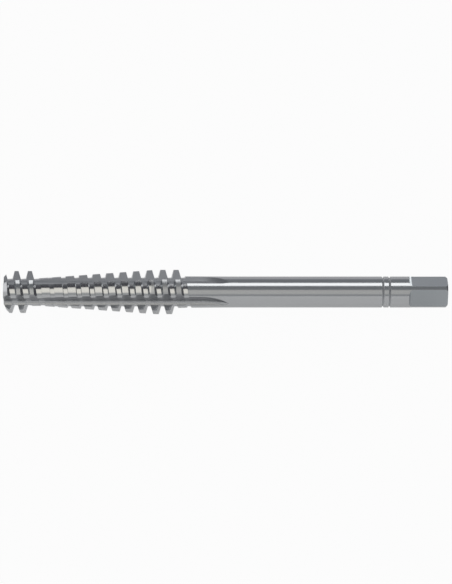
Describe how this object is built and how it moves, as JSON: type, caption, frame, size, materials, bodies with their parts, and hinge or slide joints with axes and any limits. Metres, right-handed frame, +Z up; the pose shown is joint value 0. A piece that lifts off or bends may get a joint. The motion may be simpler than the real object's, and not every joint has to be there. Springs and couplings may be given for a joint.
{
  "type": "thread tap",
  "caption": "Straight-fluted hand tap for a coarse trapezoidal thread, with a guide thread at the nose, a long lead taper, a plain round shank and a driving square.",
  "frame": {"origin": "centre of the end face of the driving square, on the tool's axis", "axes": "+X along the tool's axis, out of the driving end, with the nose at -X; +Z up, with the tool lying on its side as it rests and one flute straight down; two flats of the square face up and down, and two face +Y and -Y"},
  "size_m": [0.1, 0.009, 0.009],
  "materials": {
    "tool_steel": "ground bright, with fine grinding lines round the shank"
  },
  "bodies": {
    "root": {"thread_tap": "tool_steel"}
  },
  "joints": []
}
